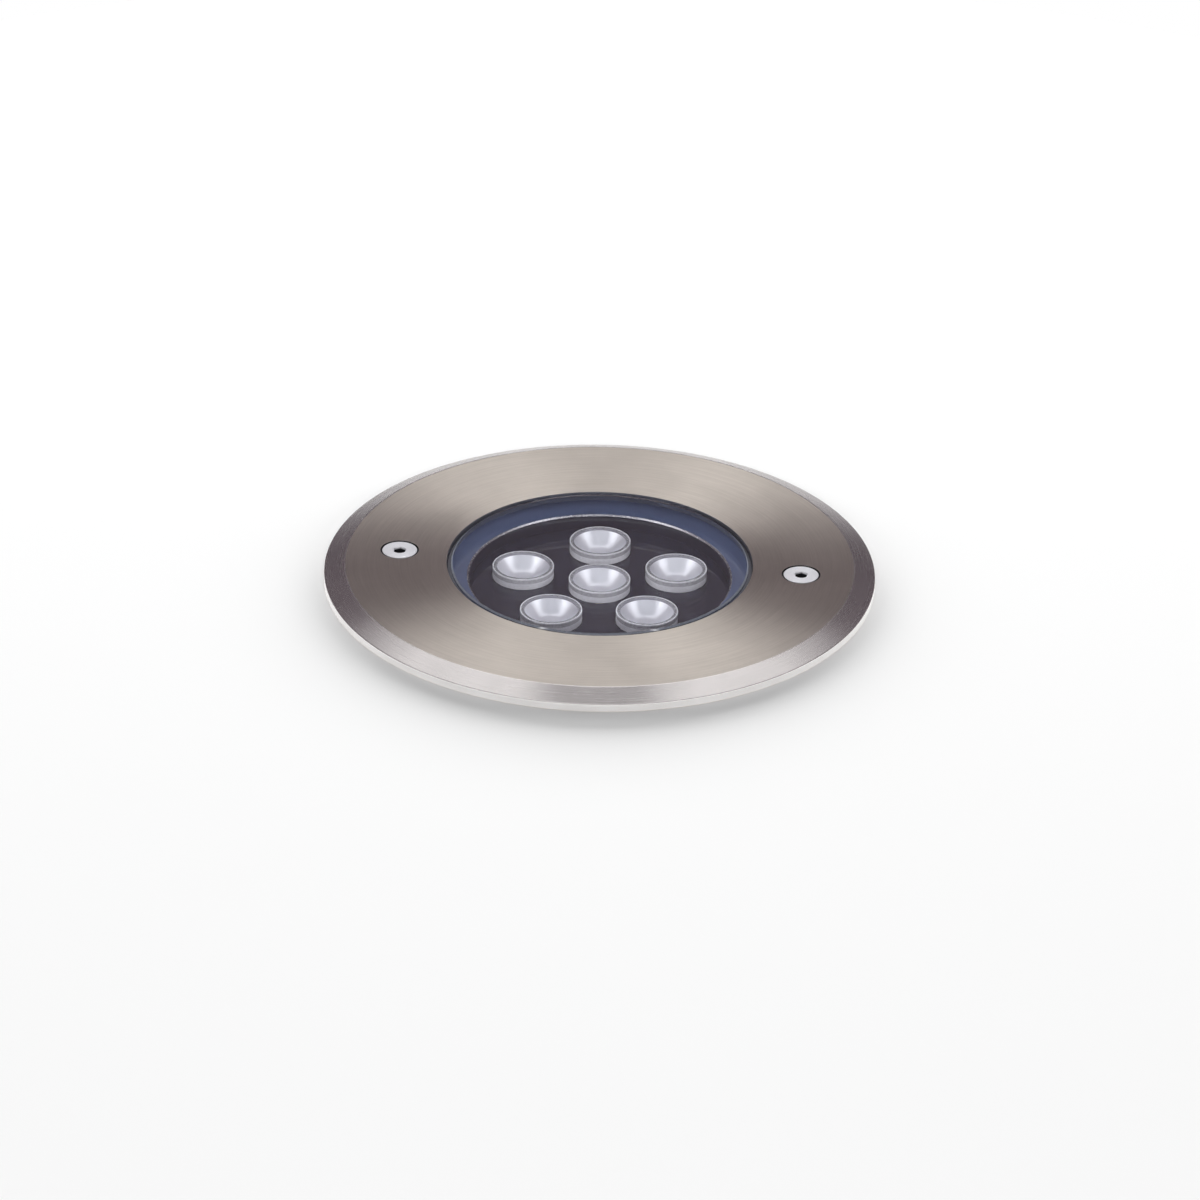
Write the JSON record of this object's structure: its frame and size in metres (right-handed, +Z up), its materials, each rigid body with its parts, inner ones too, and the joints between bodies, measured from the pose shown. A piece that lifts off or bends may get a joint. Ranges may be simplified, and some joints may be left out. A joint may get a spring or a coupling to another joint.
{
  "type": "in-ground light",
  "caption": "Round recessed ground light: bevelled steel trim ring, thick glass over clear lenses, finned sealed housing and an installation sleeve.",
  "frame": {"origin": "on the lamp's axis at the finished floor, which is the underside of the trim ring's rim", "axes": "+Z up out of the ground along the lamp's axis; +X towards one captive screw"},
  "size_m": [0.12, 0.12, 0.1],
  "materials": {
    "stainless_steel": "turned, fine concentric brushing",
    "screw_steel": "bright stainless",
    "glass": "clear tempered, bevelled edge",
    "black_silicone": "matt",
    "grey_silicone": "matt blue-grey",
    "black_plate": "glossy moulded black",
    "lens_acrylic": "clear moulded acrylic",
    "led_window": "phosphor window on ceramic",
    "board_white": "white solder mask",
    "thermal_pad": "soft grey",
    "zinc_steel": "zinc plated",
    "cast_aluminium": "die-cast, satin",
    "driver_green": "green solder mask",
    "ferrite": "matt ferrite and tape",
    "capacitor_can": "shrink sleeve",
    "terminal_grey": "moulded",
    "lead_red": "insulated wire",
    "lead_black": "insulated wire",
    "lead_green": "insulated wire",
    "nickel_brass": "nickel plated",
    "sleeve_black": "moulded, fine texture",
    "brass": "knurled insert",
    "retainer_nylon": "natural nylon"
  },
  "bodies": {
    "ground_sleeve": {"sleeve": "sleeve_black", "sleeve_inserts": "brass"},
    "lamp": {"back_cover": "cast_aluminium", "board_screws": "zinc_steel", "clamp_screws": "zinc_steel", "cover_oring": "black_silicone", "cover_screws": "zinc_steel", "driver_board": "driver_green", "driver_capacitors": "capacitor_can", "driver_screws": "zinc_steel", "driver_transformer": "ferrite", "earth_lead": "lead_green", "earth_screw": "zinc_steel", "gland_body": "nickel_brass", "gland_locknut": "nickel_brass", "gland_nut": "nickel_brass", "gland_oring": "black_silicone", "gland_seal": "black_silicone", "glass": "glass", "housing": "cast_aluminium", "lead_grommet": "black_silicone", "led_1": "led_window", "led_2": "led_window", "led_3": "led_window", "led_4": "led_window", "led_5": "led_window", "led_board": "board_white", "led_centre": "led_window", "led_lead_negative": "lead_black", "led_lead_positive": "lead_red", "lens_1": "lens_acrylic", "lens_2": "lens_acrylic", "lens_3": "lens_acrylic", "lens_4": "lens_acrylic", "lens_5": "lens_acrylic", "lens_centre": "lens_acrylic", "lens_plate": "black_plate", "lower_gasket": "grey_silicone", "terminal_block": "terminal_grey", "terminal_screws": "zinc_steel", "thermal_pad": "thermal_pad", "trim_ring": "stainless_steel", "upper_gasket": "black_silicone"},
    "left_retainer": {"screw_retainer_left": "retainer_nylon"},
    "left_screw": {"captive_screw_left": "screw_steel"},
    "right_retainer": {"screw_retainer_right": "retainer_nylon"},
    "right_screw": {"captive_screw_right": "screw_steel"}
  },
  "joints": [
    {"name": "lamp_lift", "type": "slide", "parent": "ground_sleeve", "child": "lamp", "axis": [0, 0, 1], "range_m": [0, 0.09]},
    {"name": "left_screw_rise", "type": "slide", "parent": "lamp", "child": "left_retainer", "axis": [0, 0, 1], "range_m": [0, 0.007]},
    {"name": "left_screw_turn", "type": "hinge", "parent": "left_retainer", "child": "left_screw", "pos_m": [-0.0439, 0, 0], "axis": [0, 0, 1], "range_deg": [0, 3600]},
    {"name": "right_screw_rise", "type": "slide", "parent": "lamp", "child": "right_retainer", "axis": [0, 0, 1], "range_m": [0, 0.007]},
    {"name": "right_screw_turn", "type": "hinge", "parent": "right_retainer", "child": "right_screw", "pos_m": [0.0439, 0, 0], "axis": [0, 0, 1], "range_deg": [0, 3600]}
  ],
  "couplings": [
    {"joint": "left_screw_turn", "follows": "left_screw_rise", "rad_per_m": 8976},
    {"joint": "right_screw_turn", "follows": "right_screw_rise", "rad_per_m": 8976}
  ]
}
